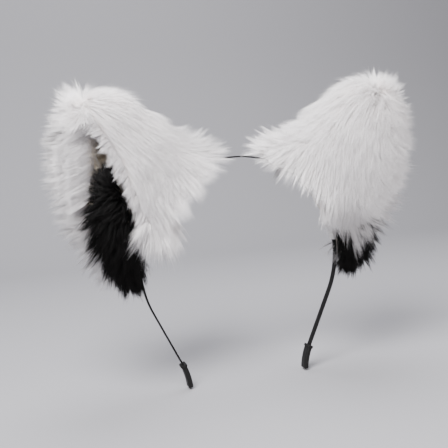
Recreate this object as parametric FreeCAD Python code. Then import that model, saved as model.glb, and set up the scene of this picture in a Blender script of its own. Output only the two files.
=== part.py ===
import FreeCAD, Part
import math
import os

# Animal ears headband: two plush ears on a thin sprung steel hoop.
# Frame: mm, +Z up, hoop in the XZ plane, front towards -Y,
# origin at the centre of the hoop's upper arc, where the head's centre lies.

V = FreeCAD.Vector

# Steel hoop
HOOP_R = 69.5               # centre line radius of the upper arc
STRIP_T = 1.0               # strip thickness, measured along the radius
STRIP_W = 5.0               # strip width, along Y
ARC_END = 114.7             # where the arc ends, degrees from the top
LEG_L = 40.8                # straight leg below the arc
BEND_R = 47.0               # outward bend at the end of each leg
STRIP_BEND = 17.0           # degrees of that bend that the strip runs through
CROWN_HALF = 4.2            # half angle of the short top piece, degrees
CROWN_GAP = 0.25            # gap between the top piece and each side, degrees

# Rubber end caps
CAP_BEND = 20.5             # degrees of the bend that a cap covers
CAP_T = 3.4
CAP_W = 7.0
LIP_BEND = 2.0              # length of the rolled lip, degrees of the bend
LIP_GROW = 0.45

# Ears. Each is laid out in its own axes: X along the hoop away from the top,
# Y to the back, Z away from the head.
EAR_ANGLE = 48.0            # ear axis, degrees from the top
LEAN = 0.2                  # how far the ear leans forward for each mm of height
LEAN_FROM = 70.0
PILE = 13.0                 # length that the outer fur stands off its backing
FUR_FROM = 9.0              # degrees from the top where the outer fur starts
PILE_BASE_R = 58.0          # radius that the outer fur hangs down to
CORE_BASE_R = 74.3          # radius where the foam core starts
CORE_T = 5.0
LINING_T = 1.0
GAP = 0.2                   # gap between the layers of an ear

# Outer fur, bottom to top: height, middle, half width, half depth
EAR_SECTIONS = [
    (46.0, 9.0, 57.0, 32.0),
    (60.0, 9.5, 57.0, 33.0),
    (75.0, 10.0, 56.0, 33.5),
    (99.0, 9.5, 50.5, 32.5),
    (118.0, 5.5, 45.0, 30.5),
    (133.0, 1.0, 38.0, 27.5),
    (148.0, -5.5, 28.5, 23.0),
    (156.0, -9.0, 19.5, 18.0),
    (161.0, -11.0, 9.5, 9.5),
]

# Side opening of each ear, seen from the front: X and Z of its front panel's edge.
# The left ear is bent further open than the right.
OPENING_EDGE = {
    "right": [(10.0, 140.0), (31.0, 112.0), (48.0, 75.0), (50.0, 30.0)],
    "left": [(-4.0, 141.0), (4.0, 112.0), (29.0, 66.0), (31.0, 30.0)],
}
OPENING_REACH = 90.0
OPENING_BACK = 1.0          # how far back the opening reaches from the ear's middle
OPENING_SLANT = 0.6         # how far the panel's cut edge turns in for each mm of depth
OPENING_FRONT = -32.0       # depth at which the edge is where it is stated

# Wire in the ear's edge
WIRE_D = 1.6
WIRE_BACK = 5.0             # distance behind the ear's middle
WIRE_LINE = [
    (-23.0, 84.0), (-21.6, 110.0), (-15.5, 133.0), (-9.3, 142.6),
    (7.5, 132.0), (19.0, 123.0), (31.8, 110.0), (44.5, 84.0),
]
WIRE_RADII = [80.0, 30.0, 4.0, 30.0, 60.0, 60.0]

# Long inner tuft
TUFT_TOP = {"right": 150.0, "left": 118.0}
TUFT_BASE_R = 74.6
TUFT_HANG = [               # degrees from the top, radius, half height, half depth
    (64.0, 94.0, 10.0, 8.0),
    (74.0, 94.0, 14.0, 11.5),
    (84.0, 91.0, 15.0, 12.5),
    (93.0, 87.0, 12.0, 10.5),
    (101.0, 82.0, 7.5, 7.0),
    (106.0, 79.0, 3.0, 3.0),
]
TUFT_HANG_Y = -9.0

# Small tuft at the front lower corner
CORNER_TUFT = [             # degrees from the top, radius, half height, half depth
    (66.0, 66.0, 3.0, 2.5),
    (71.0, 66.5, 7.5, 5.5),
    (78.0, 66.5, 8.5, 6.5),
    (85.0, 65.5, 6.5, 5.0),
    (90.0, 64.5, 2.0, 2.0),
]
CORNER_TUFT_Y = -24.0

# Parts that hold an ear on the strip
SLEEVE_CLEAR = 0.3
SLEEVE_T = 0.6
SLEEVE_FROM = 19.0          # degrees from the top
SLEEVE_TO = 84.0
PAD_T = 2.2
PAD_HALF_W = 7.5
THREAD_D = 0.5
STITCHES = 9
CARD_T = 1.0                # stiff sheet that closes the ear's base
CARD_TO = 89.0              # degrees from the top


def in_hoop(radius, degrees, y=0.0):
    a = math.radians(degrees)
    return V(radius * math.sin(a), y, radius * math.cos(a))


def sector(r_in, r_out, start, end, y_low, y_high):
    """Block between two radii and two angles from the top."""
    middle = (start + end) / 2
    edges = [
        Part.Arc(in_hoop(r_in, start, y_low), in_hoop(r_in, middle, y_low), in_hoop(r_in, end, y_low)).toShape(),
        Part.LineSegment(in_hoop(r_in, end, y_low), in_hoop(r_out, end, y_low)).toShape(),
        Part.Arc(in_hoop(r_out, end, y_low), in_hoop(r_out, middle, y_low), in_hoop(r_out, start, y_low)).toShape(),
        Part.LineSegment(in_hoop(r_out, start, y_low), in_hoop(r_in, start, y_low)).toShape(),
    ]
    return Part.Face(Part.Wire(edges)).extrude(V(0, y_high - y_low, 0))


def bend_centre():
    a = math.radians(ARC_END)
    leg_start = V(HOOP_R * math.sin(a), 0, HOOP_R * math.cos(a))
    leg_end = leg_start + V(math.cos(a), 0, -math.sin(a)) * LEG_L
    return leg_end + V(math.sin(a), 0, math.cos(a)) * BEND_R


def in_bend(offset, degrees, y=0.0):
    """Point on the leg's outward bend; offset is positive away from the head."""
    a = math.radians(ARC_END - degrees)
    return bend_centre() - V(math.sin(a), 0, math.cos(a)) * (BEND_R - offset) + V(0, y, 0)


def strip_side():
    start = CROWN_HALF + CROWN_GAP
    half = STRIP_T / 2
    y = -STRIP_W / 2
    middle = (start + ARC_END) / 2
    edges = []
    for side in (1, -1):
        r = HOOP_R + side * half
        arc = [in_hoop(r, t, y) for t in (start, middle, ARC_END)]
        bend = [in_bend(side * half, t, y) for t in (0, STRIP_BEND / 2, STRIP_BEND)]
        run = [
            Part.Arc(*arc).toShape(),
            Part.LineSegment(arc[-1], bend[0]).toShape(),
            Part.Arc(*bend).toShape(),
        ]
        if side == 1:
            edges += run + [Part.LineSegment(bend[-1], in_bend(-half, STRIP_BEND, y)).toShape()]
        else:
            edges += run[::-1] + [Part.LineSegment(arc[0], in_hoop(HOOP_R + half, start, y)).toShape()]
    face = Part.Face(Part.Wire(Part.__sortEdges__(edges)))
    return face.extrude(V(0, STRIP_W, 0))


def rounded_bar(thick, wide, radius, start, end):
    """Bar with rounded edges that follows the leg's outward bend."""
    h, w = thick / 2, wide / 2
    at = bend_centre()
    a = math.radians(ARC_END - start)
    out = V(math.sin(a), 0, math.cos(a))
    ring = at - out * BEND_R

    def point(u, v):
        return ring + out * u + V(0, v, 0)

    corners = []
    d = radius * (1 - math.sqrt(0.5))
    r = radius
    corners.append((point(h - r, -w), point(h - d, -w + d), point(h, -w + r)))
    corners.append((point(h, w - r), point(h - d, w - d), point(h - r, w)))
    corners.append((point(-h + r, w), point(-h + d, w - d), point(-h, w - r)))
    corners.append((point(-h, -w + r), point(-h + d, -w + d), point(-h + r, -w)))
    edges = []
    for i, corner in enumerate(corners):
        edges.append(Part.Arc(*corner).toShape())
        edges.append(Part.LineSegment(corner[2], corners[(i + 1) % 4][0]).toShape())
    face = Part.Face(Part.Wire(edges))
    return face.revolve(at, V(0, 1, 0), start - end)


def end_cap(strip):
    body = rounded_bar(CAP_T, CAP_W, 1.2, 0.0, CAP_BEND)
    last = max(body.Faces, key=lambda f: -f.CenterOfMass.z)
    body = body.makeFillet(1.1, last.Edges)
    lip = rounded_bar(CAP_T + 2 * LIP_GROW, CAP_W + 2 * LIP_GROW, 1.4, 0.0, LIP_BEND)
    return body.fuse(lip).cut(strip).removeSplitter()


def ellipse_wire(z, middle, half_w, half_d):
    centre = V(middle, -LEAN * max(z - LEAN_FROM, 0.0), z)
    points = []
    for i in range(24):
        a = 2 * math.pi * i / 24
        points.append(centre + V(half_w * math.cos(a), half_d * math.sin(a), 0))
    curve = Part.BSplineCurve()
    curve.interpolate(points, PeriodicFlag=True)
    return Part.Wire([curve.toShape()])


def ear_form(inset):
    """Closed ear shape, this far inside the tips of the outer fur."""
    low, top = EAR_SECTIONS[0][0], EAR_SECTIONS[-1][0]
    stretch = (top - inset - low) / (top - low)
    wires = []
    for z, middle, half_w, half_d in EAR_SECTIONS:
        wide = max(half_w - inset, half_w * 0.28)
        deep = max(half_d - inset, half_d * 0.28)
        wires.append(ellipse_wire(low + (z - low) * stretch, middle, wide, deep))
    return Part.makeLoft(wires, True, False)


def opening_cutter(side):
    """Everything in front of the ear's middle, beyond the front panel's edge."""
    edge = OPENING_EDGE[side]
    far = [(OPENING_REACH, edge[-1][1]), (OPENING_REACH, edge[0][1]), edge[0]]
    ahead = 40.0
    points = [V(x + OPENING_SLANT * ahead, OPENING_FRONT - ahead, z) for x, z in edge + far]
    block = Part.Face(Part.makePolygon(points)).extrude(V(-OPENING_SLANT * 90, 90, 0))
    behind = Part.makeBox(400, 200, 400, V(-200, OPENING_BACK, -200))
    behind.rotate(V(0, 0, 0), V(1, 0, 0), math.degrees(math.atan(LEAN)))
    behind.translate(V(0, 0, LEAN_FROM))
    return block.cut(behind)


def disc(radius, half_y=90.0):
    """Cylinder about the hoop's own axis."""
    return Part.makeCylinder(radius, 2 * half_y, V(0, -half_y, 0), V(0, 1, 0))


def to_hoop(shape):
    """From an ear's own axes to the hoop's."""
    shape.rotate(V(0, 0, 0), V(0, 1, 0), EAR_ANGLE)
    return shape


def lobe(sections, y):
    """Soft lobe that follows the hoop through ellipses set across it."""
    wires = []
    for degrees, radius, half_r, half_y in sections:
        out = in_hoop(1.0, degrees)
        centre = out * radius + V(0, y, 0)
        points = []
        for i in range(16):
            a = 2 * math.pi * i / 16
            points.append(centre + out * (half_r * math.cos(a)) + V(0, half_y * math.sin(a), 0))
        curve = Part.BSplineCurve()
        curve.interpolate(points, PeriodicFlag=True)
        wires.append(Part.Wire([curve.toShape()]))
    return Part.makeLoft(wires, True, False)


def rounded_path(points, radii):
    """Straight runs joined by tangent arcs, one radius for each inner corner."""
    edges = []
    start = points[0]
    for before, corner, after, radius in zip(points, points[1:], points[2:], radii):
        come = (before - corner).normalize()
        go = (after - corner).normalize()
        half = come.getAngle(go) / 2
        cut = radius / math.tan(half)
        middle = (come + go).normalize()
        tip = corner + middle * (radius / math.sin(half) - radius)
        edges.append(Part.LineSegment(start, corner + come * cut).toShape())
        edges.append(Part.Arc(corner + come * cut, tip, corner + go * cut).toShape())
        start = corner + go * cut
    edges.append(Part.LineSegment(start, points[-1]).toShape())
    return Part.Wire(edges)


def edge_wire(diameter):
    """Wire that runs up one side of the ear, over its top and down the other."""
    points = [V(x, WIRE_BACK - LEAN * (z - LEAN_FROM), z) for x, z in WIRE_LINE]
    start = Part.Circle(points[0], points[1] - points[0], diameter / 2)
    path = rounded_path(points, WIRE_RADII)
    return path.makePipeShell([Part.Wire([start.toShape()])], True, False)


def stitches():
    """Thread loops that tie the sleeve up to the pad."""
    sleeve_bottom = HOOP_R - STRIP_T / 2 - SLEEVE_CLEAR - SLEEVE_T
    sleeve_side = STRIP_W / 2 + SLEEVE_CLEAR + SLEEVE_T
    top = HOOP_R + STRIP_T / 2 + SLEEVE_CLEAR + SLEEVE_T
    angular = math.degrees(THREAD_D / HOOP_R) / 2
    loops = []
    for i in range(STITCHES):
        t = SLEEVE_FROM + 4 + (SLEEVE_TO - SLEEVE_FROM - 8) * i / (STITCHES - 1)
        outer = sector(sleeve_bottom - THREAD_D, top, t - angular, t + angular,
                       -sleeve_side - THREAD_D, sleeve_side + THREAD_D)
        inner = sector(sleeve_bottom, top + 1, t - 1, t + 1, -sleeve_side, sleeve_side)
        loops.append(outer.cut(inner))
    return Part.makeCompound(loops)


def ear_parts(side):
    """Every piece of one ear by name, laid out on the right half of the hoop."""
    half = STRIP_T / 2
    sleeve_in = (HOOP_R - half - SLEEVE_CLEAR, HOOP_R + half + SLEEVE_CLEAR)
    sleeve_out = (sleeve_in[0] - SLEEVE_T, sleeve_in[1] + SLEEVE_T)
    side_in = STRIP_W / 2 + SLEEVE_CLEAR
    side_out = side_in + SLEEVE_T
    sleeve = sector(*sleeve_out, SLEEVE_FROM, SLEEVE_TO, -side_out, side_out)
    sleeve = sleeve.cut(sector(*sleeve_in, SLEEVE_FROM - 1, SLEEVE_TO + 1, -side_in, side_in))
    pad_low = sleeve_out[1]
    pad = sector(pad_low, pad_low + PAD_T, SLEEVE_FROM + 1, SLEEVE_TO - 1, -PAD_HALF_W, PAD_HALF_W)
    pad_top = pad_low + PAD_T

    core_skin = to_hoop(ear_form(PILE + GAP))
    core_hollow = to_hoop(ear_form(PILE + GAP + CORE_T))
    lining_skin = to_hoop(ear_form(PILE + 2 * GAP + CORE_T))
    lining_hollow = to_hoop(ear_form(PILE + 2 * GAP + CORE_T + LINING_T))
    tuft_skin = to_hoop(ear_form(PILE + 3 * GAP + CORE_T + LINING_T))
    fur_tips = to_hoop(ear_form(0.0))
    fur_roots = to_hoop(ear_form(PILE))
    cutter = to_hoop(opening_cutter(side))
    upper = disc(CORE_BASE_R)

    card = core_skin.common(sector(pad_top, pad_top + CARD_T, 0, CARD_TO, -40, 40))
    wire = to_hoop(edge_wire(WIRE_D))
    channel = to_hoop(edge_wire(WIRE_D + 0.1))
    core = core_skin.cut(core_hollow).cut(upper).cut(cutter).cut(channel)
    lining = lining_skin.cut(lining_hollow).cut(disc(TUFT_BASE_R)).cut(cutter).cut(channel)

    corner = lobe(CORNER_TUFT, CORNER_TUFT_Y)
    corner_room = lobe([(t, r, h + GAP, d + GAP) for t, r, h, d in CORNER_TUFT], CORNER_TUFT_Y)
    hang = lobe(TUFT_HANG, TUFT_HANG_Y)
    hang_room = lobe([(t, r, h + GAP, d + GAP) for t, r, h, d in TUFT_HANG], TUFT_HANG_Y)

    below_tuft = disc(TUFT_BASE_R)
    above_tuft = to_hoop(Part.makeBox(200, 200, 100, V(-100, -100, TUFT_TOP[side])))
    in_cup = tuft_skin.cut(above_tuft)
    tuft = in_cup.fuse(hang).cut(below_tuft).cut(core).cut(lining).cut(channel)

    fur = fur_tips.cut(fur_roots).cut(cutter).cut(disc(PILE_BASE_R))
    slot = sector(PILE_BASE_R - 5, pad_top + CARD_T + GAP, 0, 130, -PAD_HALF_W - GAP, PAD_HALF_W + GAP)
    fur = fur.cut(slot).cut(corner_room).cut(hang_room)
    fur = fur.cut(sector(1, 200, -40, FUR_FROM, -90, 90)).cut(core).cut(card)
    corner = corner.cut(slot).cut(core_skin)
    return {
        "fur": fur,
        "core": core,
        "lining": lining,
        "edge_wire": wire,
        "inner_tuft": tuft,
        "corner_tuft": corner,
        "base_card": card,
        "felt_pad": pad,
        "strip_sleeve": sleeve,
        "stitches": stitches(),
    }


def largest(shape):
    """Drops slivers that a cut may leave beside the piece itself."""
    solids = sorted(shape.Solids, key=lambda s: -s.Volume)
    return [s for s in solids if s.Volume > 0.02 * solids[0].Volume]


def save(name, shape):
    kept = largest(shape)
    shape = kept[0] if len(kept) == 1 else Part.makeCompound(kept)
    shape.exportStep("parts/" + name + ".step")
    box = shape.BoundBox
    print("%-26s solids %2d valid %s volume %9.1f  x %7.1f %7.1f  y %6.1f %6.1f  z %7.1f %7.1f" % (
        name, len(kept), shape.isValid(), shape.Volume,
        box.XMin, box.XMax, box.YMin, box.YMax, box.ZMin, box.ZMax))


def mirrored(shape):
    return shape.mirror(V(0, 0, 0), V(1, 0, 0))


os.makedirs("parts", exist_ok=True)
half_t = STRIP_T / 2
crown = sector(HOOP_R - half_t, HOOP_R + half_t, -CROWN_HALF, CROWN_HALF, -STRIP_W / 2, STRIP_W / 2)
save("band_crown", crown)
right_strip = strip_side()
right_cap = end_cap(right_strip)
for side, place in (("right", lambda s: s), ("left", mirrored)):
    save(side + "_band_side", place(right_strip))
    save(side + "_end_cap", place(right_cap))
for side, place in (("right", lambda s: s), ("left", mirrored)):
    for name, shape in ear_parts(side).items():
        save(side + "_ear_" + name, place(shape))
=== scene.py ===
import math
from types import SimpleNamespace

import bmesh
import bpy
import numpy as np
from mathutils import Matrix, Vector


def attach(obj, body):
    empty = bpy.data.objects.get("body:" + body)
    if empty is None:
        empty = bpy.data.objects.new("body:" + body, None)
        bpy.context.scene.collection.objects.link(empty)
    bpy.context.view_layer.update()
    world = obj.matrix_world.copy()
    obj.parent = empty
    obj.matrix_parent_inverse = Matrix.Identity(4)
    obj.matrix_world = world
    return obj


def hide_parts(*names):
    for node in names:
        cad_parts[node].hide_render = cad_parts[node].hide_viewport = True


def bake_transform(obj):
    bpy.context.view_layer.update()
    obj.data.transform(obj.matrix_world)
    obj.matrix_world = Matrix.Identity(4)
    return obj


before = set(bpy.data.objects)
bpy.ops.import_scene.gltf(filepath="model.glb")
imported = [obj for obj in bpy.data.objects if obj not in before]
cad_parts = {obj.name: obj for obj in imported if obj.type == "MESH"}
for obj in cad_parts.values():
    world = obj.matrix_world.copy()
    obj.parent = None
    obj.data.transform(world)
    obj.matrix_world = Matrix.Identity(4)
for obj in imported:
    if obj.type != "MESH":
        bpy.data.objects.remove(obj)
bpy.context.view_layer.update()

# Looks of the animal ears headband: strands of fur over the foam ears, a smooth steel strip in two
# halves, the materials, and a floor, lights and a camera. Lengths are in millimetres unless a comment
# says metres. Each ear's hair is worked out on the right ear and mirrored for the left.

MM = 0.001
UV_NAME = "OFBake"

# Hoop's strip: an arc from the top to ARC_END degrees, a straight leg, and an end that turns outwards
HOOP_RADIUS = 69.5
STRIP_THICK = 1.0
STRIP_WIDTH = 5.0
STRIP_EDGE = 0.32
ARC_END = 114.7
LEG_LENGTH = 40.8
END_RADIUS = 47.0
END_TURN = 17.0

# Ear axes in the hoop's frame, right ear
EAR_ANGLE = math.radians(48.0)
OUT = np.array([math.sin(EAR_ANGLE), 0.0, math.cos(EAR_ANGLE)])     # away from the head
ALONG = np.array([math.cos(EAR_ANGLE), 0.0, -math.sin(EAR_ANGLE)])  # down along the hoop
BACK = np.array([0.0, 1.0, 0.0])

# Middle of an ear and its half sizes along the hoop, front to back and away from the head
MIDDLE_ALONG = 8.0
MIDDLE_OUT = 95.0
HALF_ALONG = 36.0
HALF_DEPTH = 20.0
HALF_OUT = 60.0

STRAND_SIDES = 3
COLOUR_COLUMNS = 64

# Locks for each hair of a mesh, before division by the square of its clump
LOCK_SHARE = 0.2025


# ---------------------------------------------------------------- helpers

def smooth(low, high, value):
    """0 at low and 1 at high, easing in and out between them. Low may be the larger of the two."""
    t = np.clip((value - low) / (high - low), 0.0, 1.0)
    return t * t * (3.0 - 2.0 * t)


def unit(v):
    return v / np.maximum(np.linalg.norm(v, axis=-1, keepdims=True), 1e-9)


def wave_noise(points, size, seed, octaves=2):
    """Smooth seeded vector noise, about -1 to 1, with features about this many millimetres across."""
    rng = np.random.default_rng(seed)
    total = np.zeros_like(points)
    for octave in range(octaves):
        for _ in range(5):
            direction = unit(rng.normal(size=3))
            phase = rng.uniform(0, 2 * math.pi, 3)
            step = points @ direction * (2 * math.pi / size) * (2 ** octave) * rng.uniform(0.6, 1.4)
            total += np.sin(step[:, None] + phase) * 0.4 / (octave + 1)
    return total


def triangles_of(node):
    """Corner points in millimetres, normals and areas of a CAD node's triangles."""
    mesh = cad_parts[node].data
    mesh.calc_loop_triangles()
    co = np.empty(len(mesh.vertices) * 3)
    mesh.vertices.foreach_get("co", co)
    co = co.reshape(-1, 3) / MM
    index = np.empty(len(mesh.loop_triangles) * 3, int)
    mesh.loop_triangles.foreach_get("vertices", index)
    corners = co[index.reshape(-1, 3)]
    cross = np.cross(corners[:, 1] - corners[:, 0], corners[:, 2] - corners[:, 0])
    length = np.linalg.norm(cross, axis=1)
    keep = length > 1e-8
    return corners[keep], cross[keep] / length[keep][:, None], length[keep] / 2


def ear_triangles(side, part):
    """Triangles of one part of an ear, as if it were the right ear."""
    corners, normals, areas = triangles_of(f"{side}_ear_{part}")
    if side == "left":
        flip = np.array([-1.0, 1.0, 1.0])
        corners, normals = corners * flip, normals * flip
    return corners, normals, areas


def scatter(corners, normals, areas, count, rng):
    """Random points on triangles, evenly by area, with their normals."""
    pick = rng.choice(len(areas), count, p=areas / areas.sum())
    u, v = rng.random(count), rng.random(count)
    flip = u + v > 1
    u[flip], v[flip] = 1 - u[flip], 1 - v[flip]
    a, b, c = corners[pick, 0], corners[pick, 1], corners[pick, 2]
    return a + (b - a) * u[:, None] + (c - a) * v[:, None], normals[pick]


def nearest(points, centres):
    """Index of the nearest centre for each point."""
    best = np.empty(len(points), int)
    for start in range(0, len(points), 2000):
        part = points[start:start + 2000]
        gap = ((part[:, None, :] - centres[None]) ** 2).sum(2)
        best[start:start + 2000] = gap.argmin(1)
    return best


def curve_points(roots, start_dir, end_dir, length, t):
    """Point at t on each hair, which leaves along start_dir and bends towards end_dir."""
    reach = start_dir * (t - t * t / 2) + end_dir * (t * t / 2)
    return roots + reach * length[:, None]


def gather(roots, start_dir, end_dir, length, steps, clump, pull, uneven, rng):
    """Points along each hair from root to tip. The tips gather into locks of uneven length."""
    count = len(roots)
    leader = rng.choice(count, int(count * LOCK_SHARE / clump ** 2), replace=False)
    lock = leader[nearest(roots, roots[leader])]
    lock_pull = pull * rng.uniform(0.5, 1.1, count)
    length = length * (1.0 + uneven * rng.uniform(-1.0, 0.4, count)[lock])
    rings = []
    for t in np.linspace(0.0, 1.0, steps + 1):
        own = curve_points(roots, start_dir, end_dir, length, t)
        lead = curve_points(roots[lock], start_dir[lock], end_dir[lock], length, t)
        share = (np.clip(lock_pull, 0, 0.93) * t ** 1.3)[:, None]
        rings.append(own * (1 - share) + lead * share)
    return np.array(rings)


def strand_skin(rings, width, facing, rng):
    """Corner points of tapered three-sided hairs and the directions they are shaded in."""
    steps = len(rings) - 1
    count = rings.shape[1]
    tangent = unit(rings[1] - rings[0])
    side = unit(np.cross(tangent, unit(rng.normal(size=(count, 3)))))
    other = np.cross(tangent, side)
    verts = np.empty((count, steps * STRAND_SIDES + 1, 3))
    shade = np.empty_like(verts)
    for i in range(steps):
        half_width = (width * (1 - i / steps) ** 0.75 / 2)[:, None]
        for j in range(STRAND_SIDES):
            a = 2 * math.pi * j / STRAND_SIDES
            round_way = side * math.cos(a) + other * math.sin(a)
            verts[:, i * STRAND_SIDES + j] = rings[i] + round_way * half_width
            shade[:, i * STRAND_SIDES + j] = facing * 1.6 + round_way
    verts[:, -1] = rings[-1]
    shade[:, -1] = facing + tangent * 0.4
    return verts, unit(shade)


def strand_faces(steps, mirror):
    """Corner numbers of one hair's four-sided faces, and of the triangles at its tip and root."""
    k = STRAND_SIDES
    quads = []
    for i in range(steps - 1):
        for j in range(k):
            n = (j + 1) % k
            quads.append([i * k + j, i * k + n, (i + 1) * k + n, (i + 1) * k + j])
    triangles = [[(steps - 1) * k + j, (steps - 1) * k + (j + 1) % k, steps * k] for j in range(k)]
    triangles.append([2, 1, 0])
    quads, triangles = np.array(quads), np.array(triangles)
    if mirror:
        return quads[:, ::-1], triangles[:, ::-1]
    return quads, triangles


def strand_uv(count, steps, rng):
    """For each corner, its hair's colour column across and its place from root to tip upwards."""
    column = rng.integers(0, COLOUR_COLUMNS, count)
    uv = np.empty((count, steps * STRAND_SIDES + 1, 2))
    for i in range(steps):
        for j, across in enumerate((0.1, 0.4, 0.8)):
            uv[:, i * STRAND_SIDES + j, 0] = (column + across) / COLOUR_COLUMNS
            uv[:, i * STRAND_SIDES + j, 1] = 0.02 + 0.96 * i / steps
    uv[:, -1, 0] = (column + 0.5) / COLOUR_COLUMNS
    uv[:, -1, 1] = 0.98
    return uv


def hair_mesh(name, roots, start_dir, end_dir, length, width, seed, facing, clump, pull, uneven=0.0,
              steps=2, mirror=False):
    """One mesh of tapered hairs, mirrored for the left ear."""
    rng = np.random.default_rng(seed)
    count = len(roots)
    rings = gather(roots, start_dir, end_dir, length, steps, clump, pull, uneven, rng)
    verts, shade = strand_skin(rings, width, facing, rng)
    if mirror:
        verts[..., 0] *= -1
        shade[..., 0] *= -1
    quads, triangles = strand_faces(steps, mirror)
    first = (np.arange(count) * verts.shape[1])[:, None, None]
    loops = np.concatenate([(first + quads).ravel(), (first + triangles).ravel()])
    n_quads, n_triangles = count * len(quads), count * len(triangles)
    starts = np.concatenate([np.arange(n_quads) * 4, n_quads * 4 + np.arange(n_triangles) * 3])
    mesh = bpy.data.meshes.new(name)
    mesh.vertices.add(verts.shape[0] * verts.shape[1])
    mesh.vertices.foreach_set("co", (verts * MM).astype(np.float32).ravel())
    mesh.loops.add(len(loops))
    mesh.loops.foreach_set("vertex_index", loops.astype(np.int32))
    mesh.polygons.add(n_quads + n_triangles)
    mesh.polygons.foreach_set("loop_start", starts.astype(np.int32))
    mesh.update(calc_edges=True)
    mesh.validate()
    uv = strand_uv(count, steps, rng).reshape(-1, 2)[loops]
    mesh.uv_layers.new(name=UV_NAME).data.foreach_set("uv", uv.astype(np.float32).ravel())
    mesh.polygons.foreach_set("use_smooth", np.ones(len(mesh.polygons), bool))
    mesh.normals_split_custom_set_from_vertices(shade.reshape(-1, 3).astype(np.float32))
    obj = bpy.data.objects.new(name, mesh)
    bpy.context.scene.collection.objects.link(obj)
    return obj


# ---------------------------------------------------------------- materials

def new_material(name):
    """A material with its node tree and its main shader."""
    mat = bpy.data.materials.new(name)
    mat.use_nodes = True
    tree = mat.node_tree
    return mat, tree, tree.nodes["Principled BSDF"]


def add(tree, kind, **values):
    """A new node with these settings."""
    node = tree.nodes.new(kind)
    for key, value in values.items():
        setattr(node, key, value)
    return node


def ramp(tree, factor, stops):
    """Colour that follows a factor through the given stops."""
    node = add(tree, "ShaderNodeValToRGB")
    while len(node.color_ramp.elements) < len(stops):
        node.color_ramp.elements.new(0.5)
    for element, (place, colour) in zip(node.color_ramp.elements, stops):
        element.position = place
        element.color = (*colour, 1.0)
    tree.links.new(factor, node.inputs["Fac"])
    return node.outputs["Color"]


def multiply_colours(tree, a, b):
    """One colour times the other."""
    node = add(tree, "ShaderNodeMix", data_type="RGBA", blend_type="MULTIPLY")
    node.inputs["Factor"].default_value = 1.0
    tree.links.new(a, node.inputs[6])
    tree.links.new(b, node.inputs[7])
    return node.outputs[2]


def object_noise(tree, scale, detail=2.0):
    """Noise over the object's own coordinates."""
    coords = add(tree, "ShaderNodeTexCoord")
    noise = add(tree, "ShaderNodeTexNoise")
    noise.inputs["Scale"].default_value = scale
    noise.inputs["Detail"].default_value = detail
    tree.links.new(coords.outputs["Object"], noise.inputs["Vector"])
    return noise.outputs["Fac"]


def bump(tree, shader, height, strength, distance):
    """Height that roughens the shader's surface, its distance in metres."""
    node = add(tree, "ShaderNodeBump")
    node.inputs["Strength"].default_value = strength
    node.inputs["Distance"].default_value = distance
    tree.links.new(height, node.inputs["Height"])
    tree.links.new(node.outputs["Normal"], shader.inputs["Normal"])


def hair_material(name, root, middle, tip, vary, rough, sheen, shine=0.3):
    """Hair that changes colour from root to tip and a little from hair to hair."""
    mat, tree, shader = new_material(name)
    uv = add(tree, "ShaderNodeUVMap", uv_map=UV_NAME)
    split = add(tree, "ShaderNodeSeparateXYZ")
    tree.links.new(uv.outputs["UV"], split.inputs[0])
    column = add(tree, "ShaderNodeMath", operation="MULTIPLY")
    column.inputs[1].default_value = COLOUR_COLUMNS
    tree.links.new(split.outputs["X"], column.inputs[0])
    whole = add(tree, "ShaderNodeMath", operation="FLOOR")
    tree.links.new(column.outputs[0], whole.inputs[0])
    noise = add(tree, "ShaderNodeTexWhiteNoise", noise_dimensions="1D")
    tree.links.new(whole.outputs[0], noise.inputs["W"])
    along = ramp(tree, split.outputs["Y"], [(0.0, root), (0.45, middle), (1.0, tip)])
    varied = ramp(tree, noise.outputs["Value"], [(0.0, vary), (1.0, (1.0, 1.0, 1.0))])
    tree.links.new(multiply_colours(tree, along, varied), shader.inputs["Base Color"])
    shader.inputs["Roughness"].default_value = rough
    shader.inputs["Sheen Weight"].default_value = sheen
    shader.inputs["Sheen Roughness"].default_value = 0.4
    shader.inputs["Specular IOR Level"].default_value = shine
    return mat


def cloth_material(name, light, dark, scale, depth, rough=0.85, sheen=0.2):
    """Woven or felted cloth: fine fibre noise in colour and height, uneven over broader patches."""
    mat, tree, shader = new_material(name)
    fine = object_noise(tree, scale, 6.0)
    broad = object_noise(tree, scale / 9.0)
    both = add(tree, "ShaderNodeMath", operation="MULTIPLY")
    tree.links.new(fine, both.inputs[0])
    tree.links.new(broad, both.inputs[1])
    colour = ramp(tree, both.outputs[0], [(0.1, dark), (0.4, light)])
    tree.links.new(colour, shader.inputs["Base Color"])
    bump(tree, shader, fine, 0.6, depth)
    shader.inputs["Roughness"].default_value = rough
    shader.inputs["Sheen Weight"].default_value = sheen
    return mat


def black_steel():
    """Matt black coating with a faint mottle in its colour and roughness."""
    mat, tree, shader = new_material("black_coated_steel")
    noise = object_noise(tree, 900.0, 5.0)
    colour = ramp(tree, noise, [(0.3, (0.004, 0.004, 0.004)), (0.75, (0.012, 0.0115, 0.012))])
    tree.links.new(colour, shader.inputs["Base Color"])
    rough = add(tree, "ShaderNodeMapRange")
    rough.inputs["To Min"].default_value = 0.5
    rough.inputs["To Max"].default_value = 0.7
    tree.links.new(noise, rough.inputs["Value"])
    tree.links.new(rough.outputs["Result"], shader.inputs["Roughness"])
    shader.inputs["Specular IOR Level"].default_value = 0.12
    return mat


def black_rubber():
    """Soft matt rubber with a fine grain."""
    mat, tree, shader = new_material("black_rubber")
    noise = object_noise(tree, 1400.0, 4.0)
    colour = ramp(tree, noise, [(0.3, (0.004, 0.004, 0.004)), (0.7, (0.011, 0.0105, 0.011))])
    tree.links.new(colour, shader.inputs["Base Color"])
    bump(tree, shader, noise, 0.35, 0.0001)
    shader.inputs["Roughness"].default_value = 0.55
    shader.inputs["Specular IOR Level"].default_value = 0.2
    return mat


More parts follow.
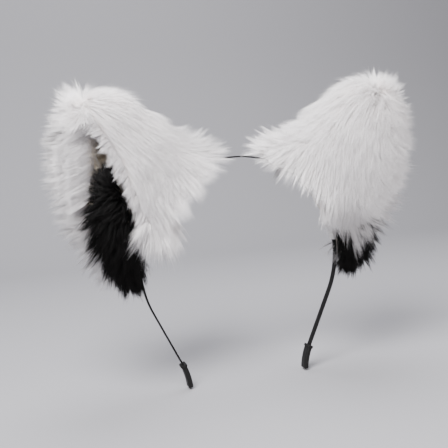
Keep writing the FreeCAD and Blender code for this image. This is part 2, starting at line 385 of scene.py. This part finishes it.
def bare_wire():
    """Bright drawn wire."""
    mat, tree, shader = new_material("edge_wire")
    shader.inputs["Metallic"].default_value = 1.0
    shader.inputs["Roughness"].default_value = 0.4
    return mat


# The white fur's root colour, darker and warmer than its middle and tip, is painted shade deep in the pile.
WHITE = hair_material("white_fur", (0.82, 0.75, 0.73), (0.94, 0.91, 0.91), (0.97, 0.955, 0.97),
                      (0.95, 0.94, 0.935), 0.62, 0.25)
BLACK = hair_material("black_fur", (0.002, 0.002, 0.002), (0.003, 0.003, 0.003), (0.007, 0.006, 0.006),
                      (0.5, 0.46, 0.44), 0.6, 0.0, 0.12)
BEIGE = hair_material("beige_pile", (0.70, 0.60, 0.47), (0.86, 0.77, 0.63), (0.93, 0.86, 0.74),
                      (0.88, 0.85, 0.8), 0.75, 0.2)
BACKING = cloth_material("white_backing", (0.78, 0.75, 0.74), (0.60, 0.57, 0.56), 2600.0, 0.0002)
LINING = cloth_material("beige_lining", (0.66, 0.57, 0.46), (0.50, 0.42, 0.33), 2200.0, 0.0002)
FELT = cloth_material("felt", (0.74, 0.72, 0.71), (0.58, 0.56, 0.55), 3000.0, 0.0003)
RIBBON = cloth_material("white_ribbon", (0.76, 0.75, 0.74), (0.64, 0.63, 0.62), 4200.0, 0.0001, 0.7, 0.1)
CARD = cloth_material("card", (0.70, 0.66, 0.58), (0.60, 0.56, 0.48), 1500.0, 0.00005, 0.8, 0.0)
THREAD = cloth_material("thread", (0.80, 0.78, 0.76), (0.62, 0.60, 0.58), 5000.0, 0.0001)
STEEL = black_steel()
RUBBER = black_rubber()
WIRE = bare_wire()


def dress(obj, mat):
    """Gives an object this material alone."""
    obj.data.materials.clear()
    obj.data.materials.append(mat)


# ---------------------------------------------------------------- fur

# How the outer fur is combed: a place on the ear (along the hoop, away from the head) and the
# direction of the hair there. Rows in COMB count everywhere, the others only in front or behind.
COMB = [
    ((-24, 158), (-0.5, 0.8)),
    ((-6, 153), (-0.1, 1.0)),
    ((13, 147), (0.45, 0.9)),
    ((27, 138), (0.6, 0.8)),
    ((40, 123), (0.7, 0.7)),
    ((50, 106), (0.75, 0.66)),
    ((57, 88), (0.85, 0.5)),
    ((64, 68), (0.95, 0.2)),
    ((56, 50), (0.9, -0.4)),
    ((-30, 134), (-0.1, -0.9)),
    ((-36, 118), (0.1, -1.0)),
    ((-15, 130), (0.15, -1.0)),
    ((-15, 122), (0.25, -1.0)),
    ((-2, 118), (0.4, -0.9)),
    ((-18, 100), (0.35, -0.95)),
    ((3, 95), (0.6, -0.8)),
    ((-38, 106), (-0.95, 0.4)),
    ((-42, 93), (-1.0, 0.3)),
    ((-46, 80), (-1.0, 0.0)),
    ((-44, 66), (-0.6, -0.8)),
    ((-20, 72), (0.5, -0.85)),
    ((6, 74), (0.7, -0.7)),
]
COMB_FRONT_EDGE = {
    "left": [
        ((12, 98), (0.62, -0.78)),
        ((24, 76), (0.75, -0.66)),
        ((-4, 122), (0.5, -0.85)),
    ],
    "right": [
        ((16, 128), (0.65, 0.6)),
        ((30, 110), (0.75, 0.6)),
        ((42, 88), (0.85, 0.4)),
        ((44, 70), (0.95, 0.0)),
        ((22, 84), (0.85, -0.4)),
    ],
}
COMB_BACK_EDGE = [
    ((12, 126), (0.7, 0.5)),
    ((28, 112), (0.85, 0.4)),
    ((40, 92), (0.95, 0.15)),
    ((44, 70), (0.95, -0.2)),
]
COMB_REACH = 12.0

# Front panel's edge at the ear's opening: height, then place along the hoop, at the fur's front
PANEL_EDGE = {
    "left": [(30, 31), (66, 29), (112, 4), (141, -4)],
    "right": [(30, 50), (75, 48), (112, 31), (140, 10)],
}
PANEL_FRONT = -32.0
PANEL_SLANT = 0.6
OPENING_BACK = 1.0

# Hair at the panel's edge, low and high on the opening: its share away from the head, and its length
FRINGE_COMB = {"left": (-0.55, 0.3), "right": (-0.3, 0.75)}
FRINGE_LENGTH = {"left": (15.0, 10.0), "right": (14.0, 14.0)}

# The fur's outer edge, on the side away from the top of the hoop: height, then place along the hoop
OUTER_EDGE = [
    (46, 66), (60, 66.5), (75, 66), (99, 60), (118, 50.5), (133, 39), (148, 23), (156, 10), (161, -2),
]

# The inner face turns from beige to white fur where along + WHITE_SLOPE * out passes WHITE_FROM
WHITE_SLOPE = 1.5
WHITE_FROM = 192.0

# Zones of the outer fur: where each one begins, then where it is full
BRIM = (24.0, 14.0)             # inside the outer edge, shaded from the front
LOOSE_EDGE = (30.0, 16.0)       # inside the outer edge
BASE = (92.0, 76.0)             # from the hoop's centre
TIP = (138.0, 146.0)            # away from the head
INNER_ALONG = (-24.0, -33.0)    # the corner near the top of the hoop: along the hoop
INNER_OUT = (114.0, 104.0)      # and away from the head

# Depth of the fur and the usual length of its hairs
PILE = 13.0
HAIR_LENGTH = 17.0

# Distance of the core's underside from the hoop's centre, and how the ear leans forwards: LEAN for
# each millimetre above LEAN_FROM
CORE_LOW = 74.3
LEAN = 0.2
LEAN_FROM = 70.0


def ear_axes(points):
    """Places along the hoop, away from the head and backwards."""
    return points @ ALONG, points @ OUT, points[:, 1]


def comb(side, along, out, in_front):
    """Direction the outer fur is combed in, and how strongly: 0 at a parting and 1 where all agree."""
    total = np.zeros((len(along), 3))
    weights = np.zeros(len(along))
    everywhere = np.ones(len(along))
    groups = (COMB, everywhere), (COMB_FRONT_EDGE[side], in_front), (COMB_BACK_EDGE, 1.0 - in_front)
    for rows, share in groups:
        for (a, o), (da, do) in rows:
            weight = share * np.exp(-((along - a) ** 2 + (out - o) ** 2) / (2 * COMB_REACH ** 2)) + 1e-9
            total += weight[:, None] * (ALONG * da + OUT * do)
            weights += weight
    return unit(total), np.clip(np.linalg.norm(total, axis=1) / weights, 0, 1)


def opening_distance(side, along, out, back):
    """Distances in front of the back wall's cut, and past the front panel's cut edge."""
    behind = OPENING_BACK - LEAN * (out - LEAN_FROM)
    edge = np.interp(out, *zip(*PANEL_EDGE[side])) - PANEL_SLANT * (back - PANEL_FRONT)
    return behind - back, along - edge


def lay(direction, normal, lift):
    """Lays a direction along the surface, lifted off it."""
    rise = (direction * normal).sum(1)[:, None]
    flat = direction - normal * rise
    return unit(flat + normal * (lift[:, None] + np.clip(rise, 0, 1)))


def outwardness(centre, normals):
    """From -1 where a face looks into the ear to 1 where it looks out of it."""
    along, out, back = ear_axes(centre)
    lean = -LEAN * np.clip(out - LEAN_FROM, 0, None)
    place = (along - MIDDLE_ALONG) / HALF_ALONG, (back - lean) / HALF_DEPTH, (out - MIDDLE_OUT) / HALF_OUT
    slope = normals @ ALONG * HALF_ALONG, normals[:, 1] * HALF_DEPTH, normals @ OUT * HALF_OUT
    return (unit(np.stack(place, 1)) * unit(np.stack(slope, 1))).sum(1)


def from_outer_edge(along, out):
    """How far inside the fur's outer edge a place is, along the hoop."""
    return np.interp(out, *zip(*OUTER_EDGE)) - along


def fur_piece(name, side, part, mat, slot_name, **hair):
    """Hair that rides on an ear and replaces this part's plain solid, if one is given."""
    obj = hair_mesh(name, mirror=side == "left", **hair)
    dress(obj, mat)
    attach(obj, f"{side}_ear")
    if part:
        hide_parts(f"{side}_ear_{part}")


def furry_triangles(side):
    """Triangles of the core that the outer fur grows on, their normals, and how much grows on each."""
    corners, normals, areas = ear_triangles(side, "core")
    centre = corners.mean(1)
    along, out, back = ear_axes(centre)
    ahead, beyond = opening_distance(side, along, out, back)
    cut = ((np.abs(beyond) < 0.8) & (ahead > 0)) | (np.abs(ahead) < 0.6)
    radius = np.hypot(centre[:, 0], centre[:, 2])
    skin = ((outwardness(centre, normals) > -0.2) | cut) & (radius > CORE_LOW + 0.3)
    edge = from_outer_edge(along, out)
    towards_tip = smooth(34.0, 18.0, edge) * smooth(112.0, 136.0, out) + smooth(*TIP, out)
    density = areas * (1.0 + 2.2 * np.clip(towards_tip, 0, 1))
    return corners[skin], normals[skin], density[skin]


def fur_places(side, roots, normal):
    """Where each root of the outer fur lies, and how far it belongs to each zone, from 0 to 1."""
    at = SimpleNamespace(roots=roots, normal=normal)
    at.along, at.out, back = ear_axes(roots)
    at.ahead, beyond = opening_distance(side, at.along, at.out, back)
    at.on_panel_cut = (np.abs(beyond) < 0.5) & (at.ahead > 0)
    at.on_rim = (np.abs(at.ahead) < 0.4) & (beyond > -1.0)
    at.radius = np.hypot(roots[:, 0], roots[:, 2])
    at.from_centre = roots * np.array([1.0, 0.0, 1.0]) / at.radius[:, None]
    edge = from_outer_edge(at.along, at.out)
    at.brim = smooth(*BRIM, edge)
    at.base = smooth(*BASE, at.radius)
    at.base_behind = at.base * smooth(-0.2, 0.2, normal[:, 1])
    at.inner_corner = smooth(*INNER_ALONG, at.along) * smooth(*INNER_OUT, at.out)
    loose_edge, tip = smooth(*LOOSE_EDGE, edge), smooth(*TIP, at.out)
    at.loose = np.maximum.reduce([loose_edge, tip, at.inner_corner, at.base * 0.5])
    return at


def fur_directions(side, at, seed, rng):
    """Directions that each hair starts and ends in. It stands up more where the combing parts."""
    turn = wave_noise(at.roots, 38.0, seed + 1) * 0.12 + wave_noise(at.roots, 9.0, seed + 2) * 0.08
    turn += wave_noise(at.roots, 5.0, seed + 4) * (0.22 * at.loose)[:, None]
    direction, sure = comb(side, at.along, at.out, smooth(-2.0, 2.0, at.ahead))
    direction = unit(direction + turn - at.from_centre * (0.6 * at.base - 1.3 * at.base_behind)[:, None])
    lift = 0.21 + 0.13 * rng.normal(size=len(at.roots)) + 0.25 * at.loose
    lift = lift + 0.3 * at.inner_corner + 0.6 * (1.0 - sure)
    return lay(direction, at.normal, lift + 0.4), lay(direction, at.normal, lift * 0.5)


def fur_lengths(at, start, end, seed, rng):
    """Length of each hair, and how far its root is raised off the core to fill the fur's depth."""
    count = len(at.roots)
    length = rng.normal(HAIR_LENGTH, 2.2, count) * (1.0 + 0.08 * wave_noise(at.roots, 12.0, seed + 3)[:, 0])
    length += 6.0 * smooth(88.0, 76.0, at.radius) * (1.0 - at.base_behind) + 3.0 * at.inner_corner
    length *= 1.0 - 0.2 * smooth(138.0, 148.0, at.out)
    length = np.clip(np.where(at.on_panel_cut, length * 0.8, length), 9.0, 26.0)
    tip_height = length * ((start + end) * at.normal).sum(1) / 2
    pile = np.select([at.on_panel_cut, at.on_rim], [4.0, 8.0], PILE)
    depth = pile * (1.0 - 0.6 * rng.random(count) ** 1.7) + 1.8 * at.loose * rng.normal(size=count)
    raised = np.clip(depth - tip_height, -0.8, 9.5)
    room = PILE + 7.5 - 6.0 * np.abs(at.normal[:, 1]) - raised
    return length * np.clip(room / np.maximum(tip_height, 0.1), 0.4, 1.0), raised


def fur_facing(at):
    """Direction each hair is shaded in: off the core, and more outwards where the fur is loose."""
    outward = unit(ALONG * (at.along - MIDDLE_ALONG)[:, None] / HALF_ALONG
                   + OUT * (at.out - MIDDLE_OUT)[:, None] / HALF_OUT)
    facing = at.normal + outward * (1.3 * at.loose)[:, None] + at.from_centre * (0.9 * at.base)[:, None]
    return unit(facing - BACK * (0.55 * at.brim)[:, None])


def outer_fur(side, seed, chunks=6, per_chunk=19500):
    """Long pile all over the outside of an ear, cut into meshes of neighbouring hairs."""
    rng = np.random.default_rng(seed)
    total = chunks * per_chunk
    roots, normal = scatter(*furry_triangles(side), total, rng)
    at = fur_places(side, roots, normal)
    start, end = fur_directions(side, at, seed, rng)
    length, raised = fur_lengths(at, start, end, seed, rng)
    facing = fur_facing(at)
    roots_off_core = roots + normal * raised[:, None]
    centres = roots[rng.choice(total, chunks * 40, replace=False)]
    order = np.argsort(nearest(roots, centres), kind="stable")
    for i in range(chunks):
        part = order[i * per_chunk:(i + 1) * per_chunk]
        fur_piece(f"{side}_ear_fur_{i + 1}", side, "fur", WHITE, "white_fur",
                  roots=roots_off_core[part], start_dir=start[part], end_dir=end[part],
                  length=length[part], width=rng.uniform(0.16, 0.30, per_chunk), seed=seed + 10 + i,
                  facing=facing[part], clump=2.2, pull=0.25 + 0.55 * at.loose[part],
                  uneven=0.12 + 0.30 * at.loose[part])


def rim_fur(side, seed, chunks=2, per_chunk=19500):
    """White fur that wraps round the back wall's edge onto its inner face."""
    corners, normals, areas = ear_triangles(side, "lining")
    centre = corners.mean(1)
    along, out, back = ear_axes(centre)
    white = along + WHITE_SLOPE * out > WHITE_FROM
    wraps = (outwardness(centre, normals) < 0.4) & white & (back > -LEAN * (out - LEAN_FROM))
    rng = np.random.default_rng(seed)
    count = chunks * per_chunk
    roots, normal = scatter(corners[wraps], normals[wraps], areas[wraps], count, rng)
    along, out, back = ear_axes(roots)
    turn = wave_noise(roots, 16.0, seed + 1) * 0.1
    sideways = unit(ALONG * 0.8 + OUT * 0.5 - BACK * 0.2 + turn)
    start = unit(sideways + normal * 0.7 - BACK * 0.5)
    end = unit(sideways - BACK * 0.1)
    raised = rng.uniform(0.0, 5.0, count)[:, None]
    length = rng.normal(HAIR_LENGTH, 2.5, count)
    pull = 0.25 + 0.5 * smooth(24.0, 12.0, from_outer_edge(along, out))
    for i in range(chunks):
        part = slice(i * per_chunk, (i + 1) * per_chunk)
        fur_piece(f"{side}_ear_rim_fur_{i + 1}", side, "fur", WHITE, "white_fur",
                  roots=(roots + normal * raised)[part], start_dir=start[part], end_dir=end[part],
                  length=length[part], width=rng.uniform(0.2, 0.34, per_chunk), seed=seed + 2 + i,
                  facing=unit(normal[part] - BACK * 1.2), clump=1.8, pull=pull[part], uneven=0.25)


def panel_fringe(side, seed, count=7000):
    """Hair along the front panel's edge, which curls over the edge into the opening."""
    corners, normals, areas = ear_triangles(side, "core")
    centre = corners.mean(1)
    ahead, beyond = opening_distance(side, *ear_axes(centre))
    edge = (ahead > 4.0) & (beyond < 0.8) & (beyond > -7.0) & (outwardness(centre, normals) > -0.1)
    rng = np.random.default_rng(seed)
    roots, normal = scatter(corners[edge], normals[edge], areas[edge], count, rng)
    turn = wave_noise(roots, 9.0, seed + 1) * 0.2
    rise = np.interp(roots @ OUT, (66.0, 120.0), FRINGE_COMB[side])
    length = np.interp(roots @ OUT, (76.0, 104.0), FRINGE_LENGTH[side])
    length = length * rng.uniform(0.75, 1.2, count)
    over = ALONG * 0.85 + OUT * rise[:, None] + turn
    start = unit(over + normal * 0.5 - BACK * 0.25)
    end = unit(over + BACK * 0.25)
    fur_piece(f"{side}_ear_panel_fringe", side, "fur", WHITE, "white_fur",
              roots=roots + normal * rng.uniform(0.0, 5.0, count)[:, None], start_dir=start, end_dir=end,
              length=length, width=rng.uniform(0.18, 0.3, count), seed=seed + 2,
              facing=unit(normal * 0.5 - BACK + ALONG * 0.6), clump=2.0, pull=0.7, uneven=0.3)


def spine(points, t):
    """Point on a line through points, for t from 0 to 1."""
    points = np.asarray(points, float)
    place = np.clip(t, 0, 1) * (len(points) - 1)
    i = np.clip(place.astype(int), 0, len(points) - 2)
    f = (place - i)[:, None]
    return points[i] * (1 - f) + points[i + 1] * f


def in_ear(rows):
    """Points or directions given along the hoop, away from the head and backwards."""
    return [ALONG * a + OUT * o + BACK * b for a, o, b in rows]


def tuft(name, side, part, mat, slot_name, path, spread, fans, count, length, width, seed, bushy, pull):
    """Bushy tuft along a line: hairs leave it all round, and lean from the first fan to the last."""
    rng = np.random.default_rng(seed)
    t = rng.random(count)
    core = spine(path, t)
    away = unit(rng.normal(size=(count, 3)))
    thick = np.interp(t, np.linspace(0, 1, len(spread)), spread)
    depth = np.array([1.0, 0.6, 1.0])
    roots = core + away * depth * (thick * rng.random(count) ** 0.5)[:, None]
    fan = spine(fans, t)
    turn = wave_noise(roots, 14.0, seed + 1) * 0.3
    start = unit(away * bushy + fan + turn)
    end = unit(away * bushy * 0.5 + fan + turn)
    long = np.interp(t, np.linspace(0, 1, len(length)), length) * rng.normal(1.0, 0.14, count)
    fur_piece(name, side, part, mat, slot_name, roots=roots, start_dir=start, end_dir=end,
              length=np.clip(long, 4.0, None), width=rng.uniform(*width, count), seed=seed + 2,
              facing=unit(away + fan * 0.5 - BACK), clump=2.4, pull=pull, uneven=0.3, steps=3)


# Each ear's long black tuft: its line (along, out and back) from its top to its tip, then which way its
# hairs lean, its half thickness and the hairs' length at even steps of that line
BLACK_LINE = {
    "left": [(12, 107, -13), (18, 101, -13), (26, 94, -13), (33, 86, -13), (39, 77, -13), (45, 69, -12),
             (50, 61, -11), (54, 55, -10)],
    "right": [(8, 106, -10), (14, 99, -10), (22, 91, -10), (30, 82, -10), (38, 73, -11), (46, 65, -11),
              (53, 58, -10), (57, 50, -9)],
}
BLACK_FANS = [
    (-0.4, 0.9, -0.3), (0.5, 0.6, -0.5), (0.9, 0.2, -0.5), (1.0, -0.1, -0.5),
    (1.0, -0.3, -0.4), (0.9, -0.6, -0.4), (0.65, -0.8, -0.3), (0.5, -0.9, -0.2),
]
BLACK_SPREAD = [3, 7, 12, 15, 15, 12, 8, 3]
BLACK_LENGTH = [9, 10, 13, 15, 15, 14, 12, 11]


def inner_tuft(side, seed):
    """Long black tuft inside the ear's opening, which hangs out below it."""
    tuft(f"{side}_ear_inner_tuft_hair", side, "inner_tuft", BLACK, "black_fur", in_ear(BLACK_LINE[side]),
         BLACK_SPREAD, in_ear(BLACK_FANS), count=12200, length=BLACK_LENGTH, width=(0.28, 0.46),
         seed=seed, bushy=0.7, pull=0.8)


# The corner tuft's line, then its half thickness, fans and hair lengths along it
CORNER_LINE = [(10, 64, -19), (15, 67, -19), (20, 71, -19)]
CORNER_SPREAD = [3.0, 3.5, 3.0]
CORNER_FANS = {
    "left": [(0.15, -1.0, -0.2), (0.7, -0.75, -0.25), (1.0, -0.15, -0.2)],
    "right": [(0.6, -0.7, -0.1), (0.8, -0.5, -0.2), (1.0, -0.1, -0.2)],
}
CORNER_LENGTH = {"left": [20, 25, 18], "right": [13, 16, 15]}


def corner_tuft(side, seed):
    """White fan of hair that hangs from under the front panel's lower edge."""
    tuft(f"{side}_ear_corner_tuft_hair", side, "corner_tuft", WHITE, "white_fur", in_ear(CORNER_LINE),
         CORNER_SPREAD, in_ear(CORNER_FANS[side]), count=5200, length=CORNER_LENGTH[side],
         width=(0.18, 0.32), seed=seed, bushy=0.3, pull=0.65)


def lining_pile(side, seed, count=9000):
    """Short beige pile on the lining inside the ear, longer near the ear's tip."""
    corners, normals, areas = ear_triangles(side, "lining")
    inward = outwardness(corners.mean(1), normals) < 0.0
    rng = np.random.default_rng(seed)
    roots, normal = scatter(corners[inward], normals[inward], areas[inward], count, rng)
    high = smooth(98.0, 110.0, roots @ OUT)
    turn = wave_noise(roots, 16.0, seed + 1) * 0.5
    start = unit(normal + turn * 0.5 + rng.normal(size=(count, 3)) * 0.2)
    end = unit(normal * 0.5 + turn + ALONG * 0.4 - BACK * high[:, None])
    fur_piece(f"{side}_ear_lining_pile", side, None, BEIGE, "beige_lining", roots=roots,
              start_dir=start, end_dir=end, length=rng.uniform(3.0, 5.5, count) + 7.0 * high,
              width=rng.uniform(0.3, 0.45, count), seed=seed + 2, clump=2.2, pull=0.5,
              facing=unit(normal * 0.5 - BACK))


# Parts of an ear that keep their plain solids
PLAIN_PARTS = {
    "core": BACKING, "lining": LINING, "edge_wire": WIRE, "base_card": CARD, "felt_pad": FELT,
    "strip_sleeve": RIBBON, "stitches": THREAD,
}

for side, seed in (("right", 100), ("left", 500)):
    outer_fur(side, seed)
    rim_fur(side, seed + 40)
    panel_fringe(side, seed + 80)
    inner_tuft(side, seed + 50)
    corner_tuft(side, seed + 60)
    lining_pile(side, seed + 70)
    for part, mat in PLAIN_PARTS.items():
        dress(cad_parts[f"{side}_ear_{part}"], mat)
    dress(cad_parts[f"{side}_end_cap"], RUBBER)


# ---------------------------------------------------------------- hoop

def hoop_line(sign):
    """Centre line of one half of the strip, from the top, as points and outward normals in XZ."""
    rows = []
    for a in np.radians(np.linspace(0, ARC_END, 90)):
        rows.append((HOOP_RADIUS * math.sin(a), HOOP_RADIUS * math.cos(a), math.sin(a), math.cos(a)))
    a = math.radians(ARC_END)
    x, z = rows[-1][:2]
    for s in np.linspace(0, LEG_LENGTH, 14)[1:]:
        rows.append((x + math.cos(a) * s, z - math.sin(a) * s, math.sin(a), math.cos(a)))
    x, z = rows[-1][:2]
    cx, cz = x + math.sin(a) * END_RADIUS, z + math.cos(a) * END_RADIUS
    for b in np.radians(np.linspace(0, END_TURN, 9))[1:]:
        nx, nz = math.sin(a - b), math.cos(a - b)
        rows.append((cx - nx * END_RADIUS, cz - nz * END_RADIUS, nx, nz))
    return [(sign * x, z, sign * nx, nz) for x, z, nx, nz in rows]


def strip_section():
    """Outline of the strip's section with rounded edges: across its thickness, then its width."""
    across, along = STRIP_THICK / 2 - STRIP_EDGE, STRIP_WIDTH / 2 - STRIP_EDGE
    section = []
    corners = (across, -along, -90), (across, along, 0), (-across, along, 90), (-across, -along, 180)
    for u, v, turn in corners:
        for step in (0, 45, 90):
            a = math.radians(turn + step)
            section.append((u + STRIP_EDGE * math.cos(a), v + STRIP_EDGE * math.sin(a)))
    return section


def strip_half(side, sign):
    """Half of the strip, from the middle of the top to inside the cap."""
    section = strip_section()
    bm = bmesh.new()
    rings = []
    for x, z, nx, nz in hoop_line(sign):
        rings.append([bm.verts.new(((x + nx * u) * MM, v * MM, (z + nz * u) * MM)) for u, v in section])
    count = len(section)
    for low, high in zip(rings, rings[1:]):
        for i in range(count):
            j = (i + 1) % count
            bm.faces.new((low[i], low[j], high[j], high[i]))
    bm.faces.new(rings[0][::-1])
    bm.faces.new(rings[-1])
    bmesh.ops.recalc_face_normals(bm, faces=bm.faces)
    mesh = bpy.data.meshes.new(f"{side}_band_strip")
    bm.to_mesh(mesh)
    bm.free()
    mesh.polygons.foreach_set("use_smooth", np.ones(len(mesh.polygons), bool))
    obj = bpy.data.objects.new(mesh.name, mesh)
    bpy.context.scene.collection.objects.link(obj)
    dress(obj, STEEL)
    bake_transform(obj)
    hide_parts(f"{side}_band_side", "band_crown")


strip_half("right", 1)
strip_half("left", -1)


# ---------------------------------------------------------------- set

# Camera: its place in metres, its turn to the side, pitch and roll in degrees, and its focal length
CAMERA_PLACE = (-0.15284, -0.46478, 0.07975)
CAMERA_ANGLES = (-17.0, 6.4, 3.75)
CAMERA_LENS = 58.6607


def floor():
    """Plain floor that curves up into a wall behind the object, in metres."""
    mesh = bpy.data.meshes.new("floor")
    low, near, far, wide, rise, bend = -0.0835, -1.6, 0.9, 2.2, 1.8, 0.35
    profile = [(near, low), (far - bend, low)]
    for i in range(1, 13):
        a = math.pi / 2 * i / 12
        profile.append((far - bend + bend * math.sin(a), low + bend - bend * math.cos(a)))
    profile.append((far, low + rise))
    verts = [(x, y, z) for y, z in profile for x in (-wide, wide)]
    faces = [(2 * i, 2 * i + 1, 2 * i + 3, 2 * i + 2) for i in range(len(profile) - 1)]
    mesh.from_pydata(verts, [], faces)
    mesh.polygons.foreach_set("use_smooth", np.ones(len(mesh.polygons), bool))
    obj = bpy.data.objects.new("floor", mesh)
    bpy.context.scene.collection.objects.link(obj)
    mat, tree, shader = new_material("floor")
    shader.inputs["Base Color"].default_value = (0.33, 0.33, 0.35, 1)
    shader.inputs["Roughness"].default_value = 0.9
    dress(obj, mat)


def area_light(name, place, target, size, power, colour):
    """Soft square light, in metres and watts, that points at a target."""
    data = bpy.data.lights.new(name, "AREA")
    data.size = size
    data.energy = power
    data.color = colour
    obj = bpy.data.objects.new(name, data)
    obj.location = place
    obj.rotation_euler = (Vector(target) - Vector(place)).to_track_quat("-Z", "Y").to_euler()
    bpy.context.scene.collection.objects.link(obj)


def camera():
    """Camera a little to the left of the object's front and slightly above it."""
    data = bpy.data.cameras.new("camera")
    data.sensor_width = 36.0
    data.lens = CAMERA_LENS
    obj = bpy.data.objects.new("camera", data)
    azimuth, pitch, roll = (math.radians(angle) for angle in CAMERA_ANGLES)
    right = Vector((math.cos(azimuth), math.sin(azimuth), 0))
    level = math.cos(pitch)
    back = Vector((math.sin(azimuth) * level, -math.cos(azimuth) * level, math.sin(pitch)))
    up = back.cross(right)
    x_axis = right * math.cos(roll) - up * math.sin(roll)
    y_axis = right * math.sin(roll) + up * math.cos(roll)
    turn = Matrix((x_axis, y_axis, back)).transposed().to_4x4()
    obj.matrix_world = Matrix.Translation(Vector(CAMERA_PLACE)) @ turn
    bpy.context.scene.collection.objects.link(obj)
    bpy.context.scene.camera = obj


def world_light():
    """Even pale light from all round."""
    world = bpy.data.worlds.new("world")
    bpy.context.scene.world = world
    world.use_nodes = True
    background = world.node_tree.nodes["Background"]
    background.inputs["Color"].default_value = (0.88, 0.87, 0.92, 1)
    background.inputs["Strength"].default_value = 0.28


floor()
camera()
world_light()
area_light("key", (-0.40, -0.56, 0.74), (0, 0, 0.05), 0.5, 28.0, (1.0, 0.985, 0.985))
area_light("fill", (0.75, -0.55, 0.3), (0, 0, 0.02), 0.8, 4.0, (1.0, 0.94, 0.92))
area_light("top", (0.1, 0.2, 0.85), (0, 0, 0.06), 0.6, 9.0, (0.97, 0.97, 1.0))
